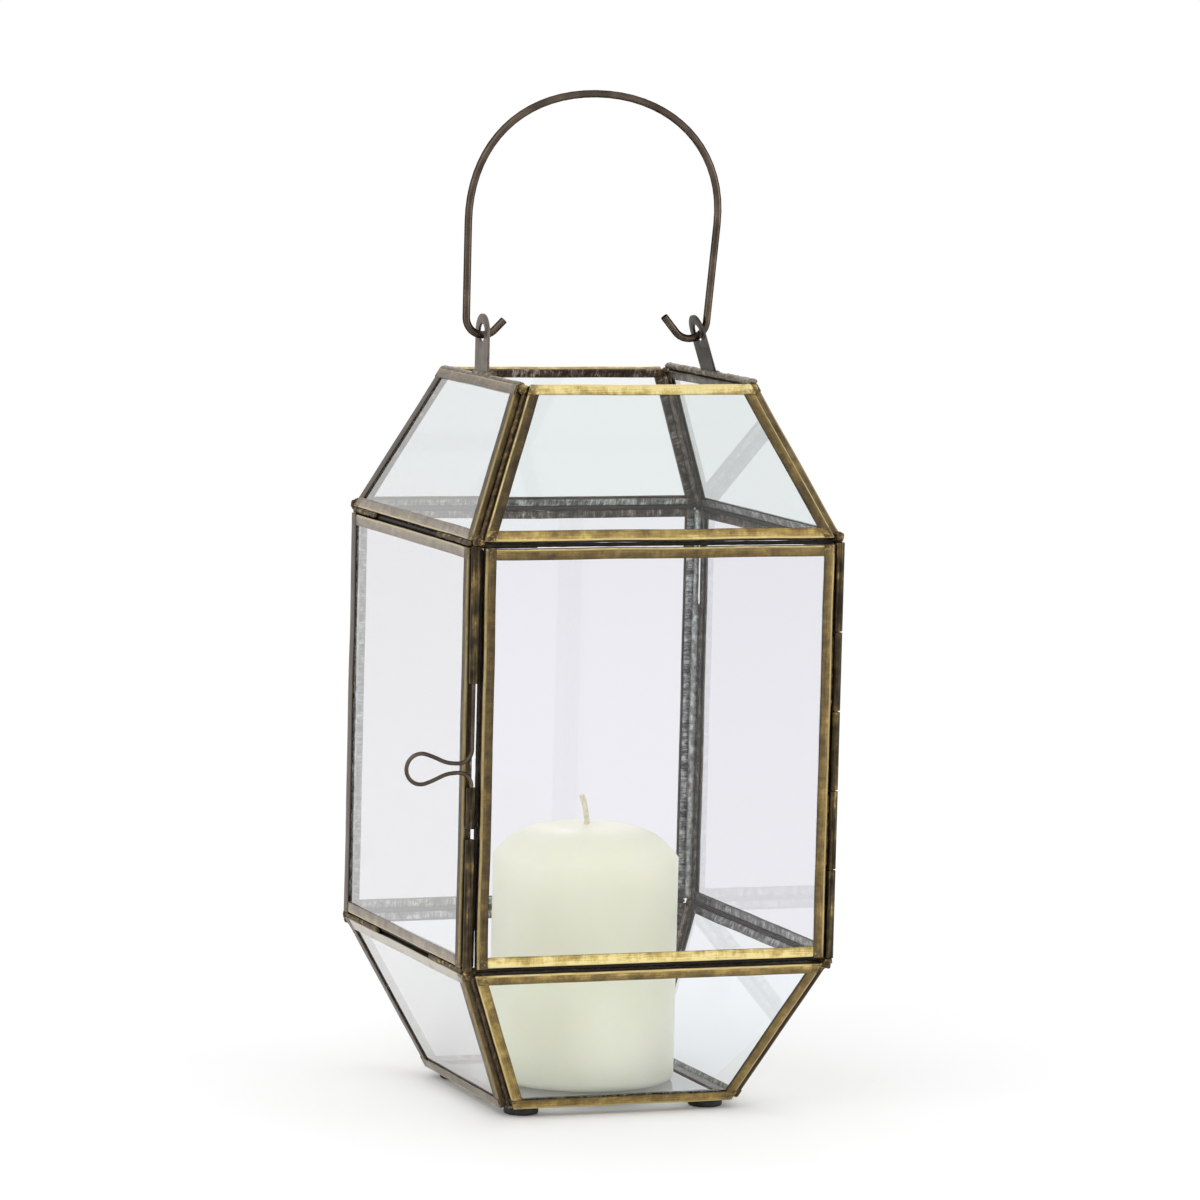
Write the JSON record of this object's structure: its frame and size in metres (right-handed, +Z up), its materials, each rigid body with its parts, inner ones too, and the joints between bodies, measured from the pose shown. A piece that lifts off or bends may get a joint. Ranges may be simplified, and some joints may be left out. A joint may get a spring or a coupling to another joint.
{
  "type": "candle lantern",
  "caption": "Square glazed lantern in soldered brass channel, with a hinged door, a turning wire latch, a wire bail handle, an open top and a pillar candle.",
  "frame": {"origin": "on the ground under the middle of the overall width, handle upright and latch loop pointing out to the side", "axes": "+Z up; the door faces -Y; +X towards the hinge; the latch loop points to -X"},
  "size_m": [0.1698, 0.1468, 0.3778],
  "materials": {
    "brass": "antiqued, mottled, bright on worn edges",
    "dark_brass": "dark patina",
    "solder": "lumpy solder under the same patina",
    "ear_sheet": "dull grey-brown patina",
    "bronze_wire": "dark bronze, satin",
    "glass": "clear float glass",
    "rubber": "matt",
    "wax": "ivory paraffin wax, faint sheen",
    "wick_cotton": "waxed cotton braid"
  },
  "bodies": {
    "lantern": {"upper_front_frame": "brass", "upper_front_pane": "glass", "upper_right_frame": "brass", "upper_right_pane": "glass", "upper_back_frame": "brass", "upper_back_pane": "glass", "upper_left_frame": "brass", "upper_left_pane": "glass", "middle_right_frame": "brass", "middle_right_pane": "glass", "middle_back_frame": "brass", "middle_back_pane": "glass", "middle_left_frame": "brass", "middle_left_pane": "glass", "lower_front_frame": "brass", "lower_front_pane": "glass", "lower_right_frame": "brass", "lower_right_pane": "glass", "lower_back_frame": "brass", "lower_back_pane": "glass", "lower_left_frame": "brass", "lower_left_pane": "glass", "base_frame": "dark_brass", "base_pane": "glass", "foot_front_left": "rubber", "foot_front_right": "rubber", "foot_back_right": "rubber", "foot_back_left": "rubber", "solder_upper_front_right": "solder", "solder_upper_back_right": "solder", "solder_upper_back_left": "solder", "solder_upper_front_left": "solder", "solder_lower_front_right": "solder", "solder_lower_back_right": "solder", "solder_lower_back_left": "solder", "solder_lower_front_left": "solder", "solder_rim_front_right": "solder", "solder_rim_back_right": "solder", "solder_rim_back_left": "solder", "solder_rim_front_left": "solder", "fixed_knuckle_1": "dark_brass", "fixed_knuckle_3": "dark_brass", "fixed_knuckle_5": "dark_brass", "hinge_pin": "bronze_wire", "latch_upper_tube": "dark_brass", "latch_sleeve": "dark_brass", "latch_lower_tube": "dark_brass", "ear_left": "ear_sheet", "ear_right": "ear_sheet"},
    "door": {"door_frame": "brass", "door_pane": "glass", "door_knuckle_2": "dark_brass", "door_knuckle_4": "dark_brass"},
    "latch": {"latch_wire": "bronze_wire"},
    "handle": {"handle": "bronze_wire"},
    "candle": {"candle": "wax", "wick": "wick_cotton"}
  },
  "joints": [
    {"name": "door_hinge", "type": "hinge", "parent": "lantern", "child": "door", "pos_m": [0.08232, -0.0708, 0.1365], "axis": [0, 0, 1], "range_deg": [0, 175]},
    {"name": "latch_turn", "type": "hinge", "parent": "lantern", "child": "latch", "pos_m": [-0.05928, -0.0708, 0.1345], "axis": [0, 0, 1], "range_deg": [-36, 125]},
    {"name": "handle_swing", "type": "hinge", "parent": "lantern", "child": "handle", "pos_m": [0.00874, 0, 0.2866], "axis": [1, 0, 0], "range_deg": [-100, 100]},
    {"name": "candle_lift", "type": "slide", "parent": "lantern", "child": "candle", "axis": [0, 0, 1], "range_m": [0, 0.15]}
  ]
}
